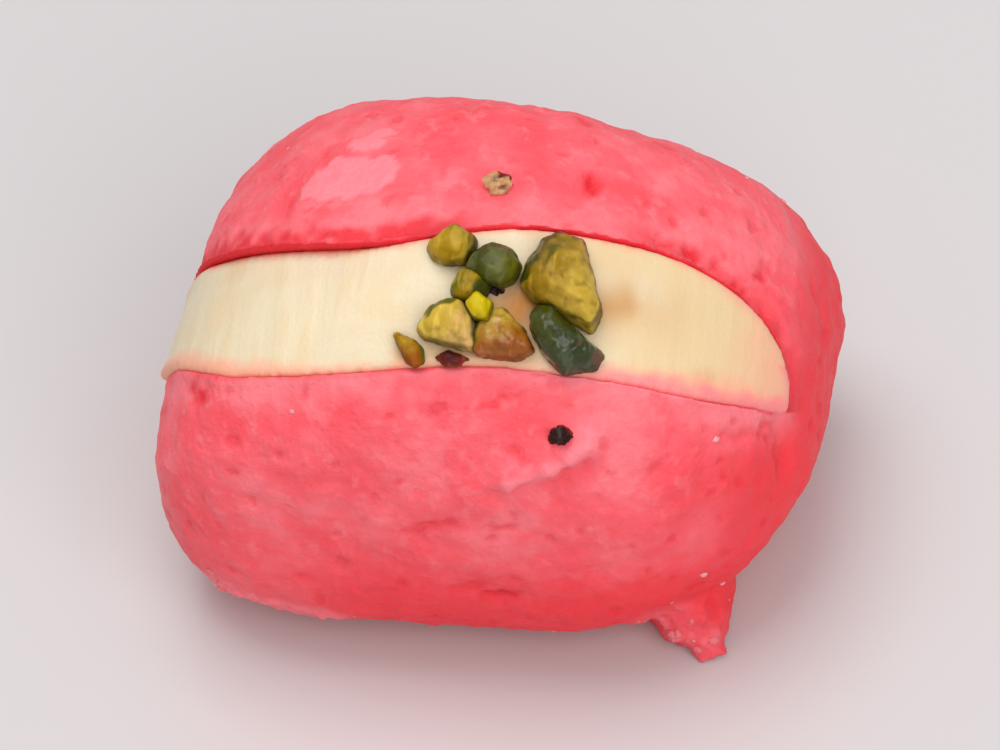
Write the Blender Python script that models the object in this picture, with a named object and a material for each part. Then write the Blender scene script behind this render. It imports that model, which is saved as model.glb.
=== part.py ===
"""Malai chum chum: an oval loaf of pink cheese sponge, slit along its upper front and filled with cream.

Sizes are in millimetres. X runs along the slit, -Y is the front and +Z is up. The loaf rests on
the plane Z = 0, and the middle of its bounding box stands over the origin.
The slit frame has the same X, with U across the slit toward the back and V out of the slit.
"""
import math

import bmesh
import bpy
import numpy as np
from mathutils import Matrix, Vector, noise
from mathutils.bvhtree import BVHTree

MM = 0.001
GAP = 0.3
SHARP_ANGLE = math.radians(35.0)

# Loaf: how far it reaches from the middle of the slit, and how square each corner is
LEFT_REACH = 27.2
RIGHT_REACH = 30.7
FRONT_REACH = 24.5
BACK_REACH = 18.0
TOP_REACH = 25.4
BELLY_HEIGHT = 16.6
FOOT_FLAT = 0.8
MIDDLE_Y = 2.95
END_SKEW = -0.45
LEFT_END_SHEAR = 2.4
SHEAR_POWER = 3
FRONT_LEFT_CORNER = 4.6
FRONT_RIGHT_CORNER = 2.5
BACK_LEFT_CORNER = 4.0
BACK_RIGHT_CORNER = 6.0
TOP_LEFT_CORNER = 2.35
TOP_RIGHT_CORNER = 1.95
BOTTOM_LEFT_CORNER = 5.0
BOTTOM_RIGHT_CORNER = 2.6
UPPER_SECTION_CORNER = 2.5
LOWER_SECTION_CORNER = 3.0
STATIONS = 49
SECTION_POINTS = 60
# Underside and the flat spot pressed into it that the loaf rests on
UNDERSIDE = 0.25
FLAT_SPOT_LOW = (-17.5, -7.0, 0.0)
FLAT_SPOT_HIGH = (10.0, 10.0, 1.2)

# Relief of the pressed curd: broad and small lumps, as (wavelength, height)
LUMPS = ((15.0, 0.55), (6.0, 0.28))
RELIEF_FADE = (0.4, 4.0)
# Marks in the skin, as (start, end, width, depth); a negative depth is a raised scar
MARKS = (
    ((6.3, -20.3, 26.9), (13.4, -17.7, 30.0), 1.1, -0.7),
    ((5.6, -21.0, 25.0), (12.6, -19.0, 27.9), 1.0, 0.5),
    ((2.9, -16.6, 34.7), (10.2, -16.8, 33.0), 0.8, 0.4),
    ((-2.0, -21.4, 21.2), (6.1, -21.3, 21.6), 1.0, 0.5),
    ((2.5, -21.4, 12.3), (6.0, -21.4, 12.6), 1.0, 0.5),
    ((28.2, -7.3, 24.2), (29.4, -8.6, 18.0), 1.2, 0.8),
    ((17.0, -2.0, 37.2), (19.0, -2.2, 36.0), 1.1, 0.5),
    ((21.4, -1.6, 34.3), (22.4, -1.0, 33.6), 1.1, 0.5),
    ((25.2, -0.3, 30.7), (25.2, -0.3, 30.7), 1.4, 0.6),
    ((10.4, 3.2, 40.4), (10.4, 3.2, 40.4), 1.1, 0.6),
    ((27.0, -3.0, 6.0), (27.0, -3.0, 6.0), 6.0, 1.3),
)
MARK_SPLIT = 0.12
# Sagged foot at the front right with its torn rim, and crumbs, as (place, radii, roughness)
FUSED_LUMPS = (
    ((17.2, -6.3, 4.0), (6.0, 7.6, 6.8), 0.6),
    ((19.6, -11.2, 3.6), (4.1, 4.9, 6.3), 0.7),
    ((21.4, -15.1, 0.8), (2.1, 1.2, 0.8), 0.6),
    ((2.9, 0.9, 42.0), (1.5, 1.2, 0.8), 0.7),
    ((10.6, -18.0, 31.1), (1.0, 0.5, 0.9), 0.4),
    ((5.0, 12.6, 38.7), (0.9, 0.8, 0.6), 0.2),
    ((-12.4, -19.4, 6.1), (0.7, 0.6, 0.6), 0.2),
)
LUMP_NOISE = 1.8
LARGE_LUMP = 3.0
LUMP_CLEARANCE = 0.35

# Slit: tilt toward the front, floor and mouth along V, edges along U
SLIT_TILT = math.radians(28.0)
SLIT_FLOOR = 20.5
SLIT_FLOOR_RISE = 5.0
SLIT_MOUTH = 38.8
SLIT_MOUTH_DROP = 10.0
SLIT_MOUTH_REACH = 25.0
SLIT_MOUTH_CURVE = 2.6
SLIT_LEFT_DROP = 3.5
SLIT_LEFT_DROP_SPAN = (-16.0, -27.2)
SLIT_ABOVE = 50.0
SLIT_ABOVE_WIDTH = 1.1
SLIT_LEFT_END = -40.0
SLIT_RIGHT_END = 28.9
SLIT_FRONT_U = 1.8
SLIT_FRONT_DRIFT = 1.9
SLIT_FRONT_DRIFT_SPAN = (-14.0, 6.0)
SLIT_FRONT_RIGHT_RISE = 1.0
SLIT_FRONT_RIGHT_SPAN = (20.0, 28.9)
SLIT_FRONT_LEFT_RISE = 2.2
SLIT_FRONT_LEFT_SPAN = (-18.0, -27.2)
SLIT_BACK_U = 13.5
SLIT_BACK_DRIFT = 3.2
SLIT_BACK_DRIFT_SPAN = (-10.0, 8.0)
SLIT_ROUNDNESS = 2.2
SLIT_TAPER = 0.2
SLIT_FLOOR_U = 9.2
SLIT_FLOOR_WIDTH = 0.15
SLIT_INSET_LIMIT = 0.3
SLIT_END_START = 14.0
SLIT_END_CORNER = 2.4
SLIT_END_SLOPE = 0.14
SLIT_LEVELS = 9
SLIT_STEPS = 19

# Cream: how far its face lies under the loaf's skin
CREAM_FRONT_RECESS = 0.3
CREAM_BACK_RECESS_LEFT = 1.7
CREAM_BACK_RECESS_RIGHT = 0.4
CREAM_BACK_RECESS_SPAN = (-14.0, 0.0)
CREAM_EDGE_ROUND = 0.5
CREAM_EDGE_POWER = 6

# Colours
PINK = (0.91, 0.115, 0.15, 1.0)
CREAM = (0.84, 0.70, 0.48, 1.0)
PALE_GREEN = (0.52, 0.37, 0.11, 1.0)
OLIVE = (0.36, 0.27, 0.03, 1.0)
DARK_GREEN = (0.045, 0.07, 0.025, 1.0)
YELLOW = (0.55, 0.50, 0.03, 1.0)
BROWN = (0.33, 0.13, 0.02, 1.0)
MAROON = (0.03, 0.004, 0.015, 1.0)

# Pistachio pieces, as name, colour, roughness, outline in (x, u), height over the cream and start
# over it, and how far the top leans in (x, u). Each piece is cut to clear those before it.
PIECES = (
    ("pistachio_pale", PALE_GREEN, 0.4, ((-2.2, 5.9), (-1.3, 7.7), (0.3, 8.6), (1.4, 8.5), (2.5, 7.0),
     (2.8, 4.6), (0.8, 5.1), (-1.5, 5.3)), 2.8, -0.6, (0.0, 0.2)),
    ("pistachio_dark", DARK_GREEN, 0.25, ((7.6, 7.9), (8.1, 8.8), (9.1, 8.9), (10.4, 7.6), (11.7, 6.4),
     (13.8, 5.4), (13.2, 4.3), (10.7, 3.4), (9.0, 4.9), (7.9, 6.6)), 2.9, -0.3, (-0.3, 0.3)),
    ("pistachio_wedge", OLIVE, 0.3, ((8.2, 16.4), (10.4, 15.8), (11.5, 13.0), (12.9, 9.2), (12.3, 7.4),
     (9.2, 8.9), (7.0, 9.6), (5.9, 10.7), (6.1, 12.7), (7.2, 15.4)), 4.0, -0.6, (1.2, -0.2)),
    ("pistachio_green", DARK_GREEN, 0.3, ((1.5, 11.7), (1.9, 12.9), (3.4, 14.2), (5.0, 13.7), (6.0, 12.4),
     (5.6, 11.0), (4.6, 10.4), (3.2, 10.8)), 3.0, 0.2, (0.0, 0.0)),
    ("pistachio_cube", OLIVE, 0.4, ((-2.4, 13.6), (-1.4, 14.6), (-0.3, 15.4), (0.9, 15.3), (1.6, 14.4),
     (1.5, 13.2), (1.0, 12.3), (-0.8, 12.1), (-2.0, 12.6)), 2.8, -0.6, (0.3, 0.3)),
    ("pistachio_syrupy", BROWN, 0.15, ((2.9, 6.0), (3.6, 7.9), (5.0, 8.3), (7.0, 6.5), (8.0, 5.1),
     (6.7, 4.3), (4.2, 3.9), (2.9, 4.3)), 2.4, -0.6, (-0.2, 0.2)),
    ("pistachio_olive", OLIVE, 0.4, ((0.4, 9.8), (0.9, 11.4), (2.0, 12.0), (3.6, 10.6), (3.0, 9.0),
     (0.9, 8.9)), 2.1, -0.6, (0.0, 0.0)),
    ("pistachio_shard", BROWN, 0.45, ((-4.5, 5.8), (-2.9, 5.2), (-1.9, 4.5), (-1.7, 3.4), (-2.3, 2.9),
     (-3.3, 3.5)), 1.5, -0.5, (0.3, -0.2)),
    ("pistachio_skin", MAROON, 0.4, ((-0.8, 3.9), (0.5, 4.7), (2.6, 4.0), (2.0, 3.1), (0.3, 2.9)), 1.3, -0.5,
     (0.0, 0.0)),
    ("pistachio_yellow", YELLOW, 0.35, ((2.0, 8.3), (2.8, 9.4), (4.2, 8.5), (4.0, 6.9), (2.8, 7.1)),
     3.6, 0.9, (0.0, 0.0)),
)
PIECE_LEVELS = ((0.0, 0.86), (0.3, 1.0), (0.72, 0.86), (1.0, 0.48))


def smooth_step(low, high, value):
    """Rises smoothly from 0 at low to 1 at high."""
    t = np.clip((value - low) / (high - low), 0.0, 1.0)
    return t * t * (3.0 - 2.0 * t)


def corner(t, power):
    """Superellipse fall-off from 1 at t = 0 to 0 at t = 1."""
    return np.maximum(1.0 - np.abs(t) ** power, 0.0) ** (1.0 / power)


def to_slit(points):
    """Object coordinates to the slit frame."""
    c, s = math.cos(SLIT_TILT), math.sin(SLIT_TILT)
    x, y, z = points[..., 0], points[..., 1], points[..., 2]
    return np.stack([x, y * c + z * s, z * c - y * s], -1)


def from_slit(points):
    """Slit frame to object coordinates."""
    c, s = math.cos(SLIT_TILT), math.sin(SLIT_TILT)
    x, u, v = points[..., 0], points[..., 1], points[..., 2]
    return np.stack([x, u * c - v * s, u * s + v * c], -1)


def loaf_rings():
    """Sections of the smooth loaf from its left end to its right end."""
    t = np.sin(np.linspace(-0.5 * math.pi, 0.5 * math.pi, STATIONS))[1:-1, None]
    turn = np.linspace(-math.pi, math.pi, SECTION_POINTS, endpoint=False)[None, :]
    c, s = np.cos(turn), np.sin(turn)
    left = t < 0
    front = FRONT_REACH * corner(t, np.where(left, FRONT_LEFT_CORNER, FRONT_RIGHT_CORNER))
    back = BACK_REACH * corner(t, np.where(left, BACK_LEFT_CORNER, BACK_RIGHT_CORNER))
    top = TOP_REACH * corner(t, np.where(left, TOP_LEFT_CORNER, TOP_RIGHT_CORNER))
    bottom = (BELLY_HEIGHT + FOOT_FLAT) * corner(t, np.where(left, BOTTOM_LEFT_CORNER, BOTTOM_RIGHT_CORNER))
    power = 2.0 / np.where(s > 0, UPPER_SECTION_CORNER, LOWER_SECTION_CORNER)
    across = np.where(c < 0, front, back) * np.sign(c) * np.abs(c) ** power
    upward = np.where(s > 0, top, bottom) * np.sign(s) * np.abs(s) ** power
    x = np.where(left, t * LEFT_REACH, t * RIGHT_REACH) + 0.0 * across
    x = x + np.where(left, LEFT_END_SHEAR * (across / FRONT_REACH) * np.abs(t) ** SHEAR_POWER, 0.0)
    return np.stack([x, across + MIDDLE_Y + END_SKEW * t, np.maximum(upward + BELLY_HEIGHT, UNDERSIDE)], -1)


def distance_to_segment(points, start, end):
    """Distance of each point to the line between two points."""
    start, end = np.array(start), np.array(end)
    along = end - start
    share = np.clip((points - start) @ along / max(along @ along, 1e-9), 0.0, 1.0)
    return np.linalg.norm(points - start - share[..., None] * along, axis=-1)


def mark_depths(points):
    """Depth of the marks at each point."""
    depths = np.zeros(len(points))
    for start, end, width, depth in MARKS:
        depths = depths + depth * np.exp(-(distance_to_segment(points, start, end) / width) ** 2)
    return depths


def add_relief(obj):
    """Splits the faces near the marks, then moves the skin by its lumps and marks."""
    bm = bmesh.new()
    bm.from_mesh(obj.data)
    middles = np.array([(e.verts[0].co + e.verts[1].co) * (0.5 / MM) for e in bm.edges])
    near = [edge for edge, depth in zip(bm.edges, np.abs(mark_depths(middles))) if depth > MARK_SPLIT]
    bmesh.ops.subdivide_edges(bm, edges=near, cuts=1, use_grid_fill=True)
    bmesh.ops.triangulate(bm, faces=bm.faces)
    bm.normal_update()
    points = np.array([vert.co for vert in bm.verts]) / MM
    normals = np.array([vert.normal for vert in bm.verts])
    lumps = [sum(amount * noise.noise(Vector(p) / length) for length, amount in LUMPS) for p in points]
    height = np.array(lumps) * smooth_step(*RELIEF_FADE, points[:, 2]) - mark_depths(points)
    points = points + normals * height[:, None]
    points[:, 2] = np.maximum(points[:, 2], UNDERSIDE)
    for vert, point in zip(bm.verts, points):
        vert.co = point * MM
    bm.to_mesh(obj.data)
    bm.free()


def ring_sides(count, around):
    """Quads between equal rings that follow one another."""
    faces = []
    for i in range(count - 1):
        for j in range(around):
            k = (j + 1) % around
            faces.append((i * around + j, i * around + k, (i + 1) * around + k, (i + 1) * around + j))
    return faces


def loaf_mesh(name, rings, material):
    """Closed skin over the loaf's rings, with a point at each end."""
    count, around = rings.shape[:2]
    ends = [rings[0].mean(0), rings[-1].mean(0)]
    verts = [tuple(p * MM) for p in rings.reshape(-1, 3)] + [tuple(p * MM) for p in ends]
    faces = ring_sides(count, around)
    last = (count - 1) * around
    for j in range(around):
        k = (j + 1) % around
        faces.append((count * around, k, j))
        faces.append((count * around + 1, last + j, last + k))
    return mesh_object(name, verts, faces, material)


def mesh_object(name, verts, faces, material):
    """Object made of the given mesh, with its faces turned outward."""
    mesh = bpy.data.meshes.new(name)
    mesh.from_pydata(verts, [], faces)
    bm = bmesh.new()
    bm.from_mesh(mesh)
    bmesh.ops.triangulate(bm, faces=bm.faces)
    bmesh.ops.recalc_face_normals(bm, faces=bm.faces)
    bm.to_mesh(mesh)
    bm.free()
    obj = bpy.data.objects.new(name, mesh)
    bpy.context.collection.objects.link(obj)
    if material:
        mesh.materials.append(material)
    return obj


def principled(name, color, roughness):
    """Plain material of one colour."""
    material = bpy.data.materials.new(name)
    material.use_nodes = True
    shader = material.node_tree.nodes["Principled BSDF"]
    shader.inputs["Base Color"].default_value = color
    shader.inputs["Roughness"].default_value = roughness
    material.diffuse_color = color
    return material


def slit_edges(x):
    """Front and back edge of the slit along U at its mouth."""
    front = SLIT_FRONT_U + SLIT_FRONT_DRIFT * smooth_step(*SLIT_FRONT_DRIFT_SPAN, x)
    front = front + SLIT_FRONT_RIGHT_RISE * smooth_step(*SLIT_FRONT_RIGHT_SPAN, x)
    front = front + SLIT_FRONT_LEFT_RISE * smooth_step(*SLIT_FRONT_LEFT_SPAN, x)
    back = SLIT_BACK_U + SLIT_BACK_DRIFT * smooth_step(*SLIT_BACK_DRIFT_SPAN, x)
    end = np.clip((x - SLIT_END_START) / (SLIT_RIGHT_END - SLIT_END_START), 0.0, 1.0)
    return front, front + (back - front) * corner(end, SLIT_END_CORNER)


def slit_profile(level, x):
    """Height along V at each x, share of the full width and share of the depth at one level."""
    if level == SLIT_LEVELS - 1:
        return np.full_like(x, SLIT_ABOVE), SLIT_ABOVE_WIDTH, 0.0
    rise = 1.0 - math.cos(0.5 * math.pi * level / (SLIT_LEVELS - 2))
    width = (1.0 - (1.0 - rise) ** SLIT_ROUNDNESS) ** (1.0 / SLIT_ROUNDNESS)
    width = width * (1.0 - SLIT_TAPER * (1.0 - rise))
    reach = np.clip(x, -LEFT_REACH, SLIT_RIGHT_END)
    mouth = SLIT_MOUTH - SLIT_MOUTH_DROP * (np.abs(reach) / SLIT_MOUTH_REACH) ** SLIT_MOUTH_CURVE
    mouth = mouth - SLIT_LEFT_DROP * smooth_step(*SLIT_LEFT_DROP_SPAN, reach)
    floor = SLIT_FLOOR + SLIT_FLOOR_RISE * np.minimum(reach, 0.0) / LEFT_REACH
    return floor + (mouth - floor) * rise, max(width, SLIT_FLOOR_WIDTH), 1.0 - rise


def slit_solid(name, inset):
    """Solid that fills the slit, drawn in from its walls by the inset."""
    open_x = np.linspace(SLIT_LEFT_END, SLIT_END_START, SLIT_STEPS)
    turn = np.linspace(0.0, 0.5 * math.pi, SLIT_STEPS // 2)[1:]
    x = np.concatenate([open_x, SLIT_END_START + (SLIT_RIGHT_END - SLIT_END_START) * np.sin(turn)])
    front, back = slit_edges(x)
    middle, half = 0.5 * (front + back), 0.5 * (back - front)
    rings = []
    for level in range(SLIT_LEVELS):
        v, width, depth = slit_profile(level, x)
        centre = middle + depth * (SLIT_FLOOR_U - middle)
        reach = np.maximum(half * width - inset, SLIT_INSET_LIMIT * half * width)
        along = x * (1.0 - SLIT_END_SLOPE * depth * smooth_step(0.0, SLIT_RIGHT_END, x))
        along = along - inset * (1.0 + depth) * smooth_step(0.0, SLIT_END_START, x)
        height = v + inset * depth
        near = np.stack([along, centre - reach, height], -1)
        far = np.stack([along, centre + reach, height], -1)
        rings.append(from_slit(np.concatenate([near, far[-2::-1]])))
    around = len(rings[0])
    faces = ring_sides(SLIT_LEVELS, around)
    for start in (0, (SLIT_LEVELS - 1) * around):
        for i in range(len(x) - 1):
            corners = {start + i, start + i + 1, start + around - 2 - i, start + around - 1 - i}
            faces.append(sorted(corners))
    verts = [tuple(p * MM) for p in np.concatenate(rings)]
    return mesh_object(name, verts, faces, None)


def boolean(obj, other, operation):
    """Applies one Boolean, with the solver that keeps every cut here closed, and removes the other."""
    modifier = obj.modifiers.new("boolean", "BOOLEAN")
    modifier.operation = operation
    modifier.object = other
    modifier.solver = "MANIFOLD"
    bpy.context.view_layer.update()
    graph = bpy.context.evaluated_depsgraph_get()
    mesh = bpy.data.meshes.new_from_object(obj.evaluated_get(graph))
    obj.modifiers.clear()
    old = obj.data
    obj.data = mesh
    bpy.data.meshes.remove(old)
    bpy.data.objects.remove(other)


def rough_lump(name, place, radii, roughness, material):
    """Rounded crumb with an uneven skin that stays over the resting plane."""
    bm = bmesh.new()
    bmesh.ops.create_icosphere(bm, subdivisions=2 if max(radii) < LARGE_LUMP else 3, radius=1.0)
    for vert in bm.verts:
        point = Vector([c * r for c, r in zip(vert.co, radii)]) + Vector(place)
        point = point + vert.co * (roughness * noise.noise(point / LUMP_NOISE))
        point.z = max(point.z, LUMP_CLEARANCE)
        vert.co = point * MM
    verts = [tuple(v.co) for v in bm.verts]
    faces = [[v.index for v in f.verts] for f in bm.faces]
    bm.free()
    return mesh_object(name, verts, faces, material)


def flat_spot(material):
    """Flat pad that the loaf rests on."""
    low, high = FLAT_SPOT_LOW, FLAT_SPOT_HIGH
    around = ((low[0], low[1]), (high[0], low[1]), (high[0], high[1]), (low[0], high[1]))
    verts = [(x * MM, y * MM, z * MM) for z in (low[2], high[2]) for x, y in around]
    return mesh_object("flat_spot", verts, [(0, 1, 2, 3), (4, 5, 6, 7)] + ring_sides(2, 4), material)


def surface_tree(obj):
    """Search tree over an object's faces."""
    bm = bmesh.new()
    bm.from_mesh(obj.data)
    tree = BVHTree.FromBMesh(bm)
    bm.free()
    return tree


def skin_height(trees, x, u):
    """Height along V of the highest surface at a place of the slit frame."""
    start = Vector(from_slit(np.array([x, u, SLIT_ABOVE])) * MM)
    inward = Vector(from_slit(np.array([0.0, 0.0, -1.0])))
    hits = [tree.ray_cast(start, inward)[3] for tree in trees]
    return SLIT_ABOVE - min(hit for hit in hits if hit is not None) / MM


def nut_piece(name, outline, height, start, lean, trees, material):
    """Chopped piece of nut with the given outline, as the hull of a few levels over the cream."""
    outline = np.array(outline)
    middle = outline.mean(0)
    base = np.array([skin_height(trees, *point) for point in outline])
    bm = bmesh.new()
    for share, size in PIECE_LEVELS:
        ring = middle + (outline - middle) * size + np.array(lean) * share
        level = base * size + base.mean() * (1.0 - size) + start + (height - start) * share
        for point in from_slit(np.column_stack([ring, level])):
            bm.verts.new(point * MM)
    hull = bmesh.ops.convex_hull(bm, input=bm.verts)
    loose = [item for item in hull["geom_interior"] if isinstance(item, bmesh.types.BMVert)]
    bmesh.ops.delete(bm, geom=loose, context="VERTS")
    bm.verts.index_update()
    verts = [tuple(v.co) for v in bm.verts]
    faces = [[v.index for v in f.verts] for f in bm.faces]
    bm.free()
    return mesh_object(name, verts, faces, material)


def keep_largest(obj):
    """Drops the scraps that cutting left beside the main piece."""
    bm = bmesh.new()
    bm.from_mesh(obj.data)
    left, shells = set(bm.faces), []
    while left:
        shell, rim = set(), {left.pop()}
        while rim:
            shell |= rim
            rim = {f for face in rim for e in face.edges if e.is_manifold for f in e.link_faces} - shell
        left -= shell
        shells.append(shell)
    keep = max(shells, key=lambda shell: sum(face.calc_area() for face in shell))
    bmesh.ops.delete(bm, geom=[face for face in bm.faces if face not in keep], context="FACES")
    bm.to_mesh(obj.data)
    bm.free()


def keep_clear(obj, other):
    """Cuts an object back so that it keeps the gap to another."""
    cutter = other.copy()
    cutter.data = other.data.copy()
    bpy.context.collection.objects.link(cutter)
    bm = bmesh.new()
    bm.from_mesh(cutter.data)
    bm.normal_update()
    moved = [v.co + v.normal * (GAP * MM * v.calc_shell_factor()) for v in bm.verts]
    for vert, place in zip(bm.verts, moved):
        vert.co = place
    bm.to_mesh(cutter.data)
    bm.free()
    boolean(obj, cutter, "DIFFERENCE")


def cream_rings():
    """The loaf's sections drawn down to the face of the cream."""
    slit = to_slit(loaf_rings())
    front, back = slit_edges(slit[..., 0])
    across = (slit[..., 1] - front) / np.maximum(back - front, 1.0)
    rise = smooth_step(*CREAM_BACK_RECESS_SPAN, slit[..., 0])
    back_recess = CREAM_BACK_RECESS_LEFT + (CREAM_BACK_RECESS_RIGHT - CREAM_BACK_RECESS_LEFT) * rise
    recess = CREAM_FRONT_RECESS + (back_recess - CREAM_FRONT_RECESS) * np.clip(across, 0.0, 1.0)
    recess = recess + CREAM_EDGE_ROUND * np.clip(np.abs(2.0 * across - 1.0), 0.0, 1.0) ** CREAM_EDGE_POWER
    slit[..., 2] = slit[..., 2] - recess
    return from_slit(slit)


def make_sponge():
    """Pink loaf with its slit, its torn foot, the crumbs on it and the flat spot under it."""
    pink = principled("pink_chhena", PINK, 0.5)
    sponge = loaf_mesh("sponge", loaf_rings(), pink)
    add_relief(sponge)
    boolean(sponge, slit_solid("slit", 0.0), "DIFFERENCE")
    for place, radii, roughness in FUSED_LUMPS:
        boolean(sponge, rough_lump("lump", place, radii, roughness, pink), "UNION")
    boolean(sponge, flat_spot(pink), "UNION")
    return sponge


def make_filling():
    """Cream that fills the slit."""
    filling = loaf_mesh("malai_filling", cream_rings(), principled("malai", CREAM, 0.45))
    boolean(filling, slit_solid("slit", GAP), "INTERSECT")
    return filling


def make_pieces(sponge, filling):
    """Chopped pistachio on the cream."""
    trees = (surface_tree(sponge), surface_tree(filling))
    pieces = []
    for name, color, roughness, *shape in PIECES:
        piece = nut_piece(name, *shape, trees, principled(name, color, roughness))
        for other in [filling, sponge] + pieces:
            keep_clear(piece, other)
        keep_largest(piece)
        pieces.append(piece)
    return pieces


def centre_on_origin(objects):
    """Moves the meshes so that the middle of their box stands over the origin."""
    points = np.array([vert.co for obj in objects for vert in obj.data.vertices])
    low, high = points.min(0), points.max(0)
    shift = Matrix.Translation((-0.5 * (low[0] + high[0]), -0.5 * (low[1] + high[1]), -low[2]))
    for obj in objects:
        obj.data.transform(shift)


def main():
    for obj in list(bpy.data.objects):
        bpy.data.objects.remove(obj)
    sponge = make_sponge()
    filling = make_filling()
    objects = [sponge, filling] + make_pieces(sponge, filling)
    centre_on_origin(objects)
    for obj in objects:
        obj.data.shade_smooth()
        obj.data.set_sharp_from_angle(angle=SHARP_ANGLE)


main()
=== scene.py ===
"""Malai chum chum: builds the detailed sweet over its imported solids, with its stage, lights and camera.

Settings and the stage are in metres. All other sizes and places are in millimetres, in the part's own
frame: X runs along the slit, -Y is the front and +Z is up.
"""

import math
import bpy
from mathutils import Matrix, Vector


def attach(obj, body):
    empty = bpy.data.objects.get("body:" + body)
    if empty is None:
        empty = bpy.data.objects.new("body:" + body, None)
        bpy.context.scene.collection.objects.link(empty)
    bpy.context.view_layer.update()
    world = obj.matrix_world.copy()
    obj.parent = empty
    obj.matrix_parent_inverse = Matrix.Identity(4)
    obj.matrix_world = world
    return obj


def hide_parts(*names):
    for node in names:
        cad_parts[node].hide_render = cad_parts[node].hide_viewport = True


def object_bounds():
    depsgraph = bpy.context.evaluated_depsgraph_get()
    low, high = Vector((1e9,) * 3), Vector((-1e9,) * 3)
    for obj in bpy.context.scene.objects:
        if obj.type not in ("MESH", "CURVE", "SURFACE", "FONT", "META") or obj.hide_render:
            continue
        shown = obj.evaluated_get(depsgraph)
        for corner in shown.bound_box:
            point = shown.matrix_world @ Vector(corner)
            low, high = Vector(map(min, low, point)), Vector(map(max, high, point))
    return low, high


bl_info = {
    "name": "Malai Chum Chum Maker",
    "version": (1, 0, 0),
    "blender": (4, 5, 0),
    "location": "View3D > Sidebar > Chum Chum",
    "description": "Builds a pink cheese sweet filled with cream and topped with chopped pistachio",
    "category": "Object",
}

import bmesh
import bpy
import numpy as np
from bpy.props import FloatProperty, FloatVectorProperty, IntProperty, PointerProperty
from mathutils import Euler, Vector, noise
from mathutils.bvhtree import BVHTree

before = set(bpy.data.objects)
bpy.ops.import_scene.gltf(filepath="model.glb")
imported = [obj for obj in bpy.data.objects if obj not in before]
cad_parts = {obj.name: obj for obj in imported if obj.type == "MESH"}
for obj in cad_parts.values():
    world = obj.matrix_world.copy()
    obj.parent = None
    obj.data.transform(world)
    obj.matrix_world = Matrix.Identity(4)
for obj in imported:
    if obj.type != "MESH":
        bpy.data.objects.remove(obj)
packed_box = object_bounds()

MM = 0.001
SLIT_TILT = math.radians(28.0)
# Directions across the slit toward the back, and out of it
ACROSS_SLIT = np.array((0.0, math.cos(SLIT_TILT), math.sin(SLIT_TILT)))
OUT_OF_SLIT = np.array((0.0, -math.sin(SLIT_TILT), math.cos(SLIT_TILT)))

# Marks in the sponge, as (start, end, width, depth, redness); the redness is painted shade in the crack, a
# negative depth stands proud, and a negative redness is pale
SPONGE_MARKS = (
    ((1.1, -17.7, 33.1), (3.2, -17.0, 33.4), 0.35, 0.30, 0.5),
    ((3.2, -17.0, 33.4), (5.6, -16.2, 33.7), 0.30, 0.25, 0.4),
    ((5.9, -15.9, 34.0), (9.2, -15.0, 34.3), 0.35, 0.20, 0.2),
    ((-1.6, -20.0, 27.2), (0.6, -18.4, 31.2), 0.45, 0.15, 0.1),
    ((3.8, -20.8, 25.6), (8.0, -19.9, 26.4), 0.50, 0.40, 0.5),
    ((8.0, -19.9, 26.4), (11.4, -18.8, 28.4), 0.50, 0.35, 0.5),
    ((4.6, -20.5, 26.9), (9.4, -19.2, 28.4), 1.15, -0.32, -0.9),
    ((9.4, -19.2, 28.4), (12.0, -17.6, 30.6), 1.15, -0.32, -1.0),
    ((-3.4, -21.0, 20.9), (-0.6, -21.0, 21.5), 0.45, 0.25, 0.6),
    ((3.0, -21.0, 21.3), (4.6, -20.8, 21.5), 0.50, 0.25, 0.6),
    ((1.6, -20.7, 12.1), (4.2, -20.8, 12.3), 0.55, 0.35, 1.0),
    ((-9.5, -20.6, 11.6), (-6.0, -20.9, 12.4), 0.40, 0.20, 0.4),
    ((15.6, -18.6, 26.3), (18.4, -16.9, 26.7), 0.45, 0.25, 0.5),
    ((22.6, -12.4, 26.2), (25.6, -9.3, 23.6), 0.50, 0.25, 0.3),
    ((26.2, -8.6, 23.6), (27.6, -8.6, 18.4), 0.60, 0.45, 0.7),
    ((15.6, 0.1, 37.3), (16.6, 0.4, 36.7), 0.55, 0.30, 0.8),
    ((18.0, 0.7, 35.8), (18.9, 1.0, 35.2), 0.75, 0.50, 1.0),
    ((20.2, 0.9, 33.9), (20.8, 0.8, 33.3), 0.60, 0.45, 1.0),
    ((22.0, 0.5, 32.4), (22.9, 0.5, 31.5), 0.70, 0.45, 1.0),
    ((23.6, 2.6, 31.1), (24.0, 3.0, 30.6), 0.50, 0.35, 0.8),
    ((24.3, -0.3, 29.8), (26.1, -0.8, 27.4), 0.50, 0.35, 0.9),
    ((-25.6, -13.6, 28.9), (-23.6, -14.6, 29.3), 0.80, 0.10, 1.2),
    ((9.0, 3.2, 40.4), (9.2, 4.3, 40.0), 0.70, 0.45, 1.0),
)
# Dry pale patches on the skin, as (middle, reach along X, reach along Y)
PALE_PATCHES = (
    ((-12.3, 1.9, 40.7), 3.7, 2.4),
    ((-14.8, 1.2, 39.9), 1.7, 1.9),
    ((-9.4, 2.3, 41.4), 1.5, 1.9),
    ((-11.2, 5.7, 40.9), 1.8, 0.9),
    ((-9.9, 7.2, 40.7), 1.0, 0.7),
)
# Skin that is torn and crumbly, as (start, end, reach, paleness)
TORN_SKIN = (
    ((-3.0, 12.6, 39.6), (5.5, 13.6, 38.6), 1.3, 0.1),
    ((-23.0, -17.6, 7.0), (-13.0, -20.0, 5.0), 3.4, 0.7),
    ((16.4, -16.2, 4.6), (19.4, -14.8, 0.8), 5.0, 0.3),
    ((7.0, -20.4, 5.6), (12.0, -19.2, 4.2), 1.0, 0.1),
)
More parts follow.
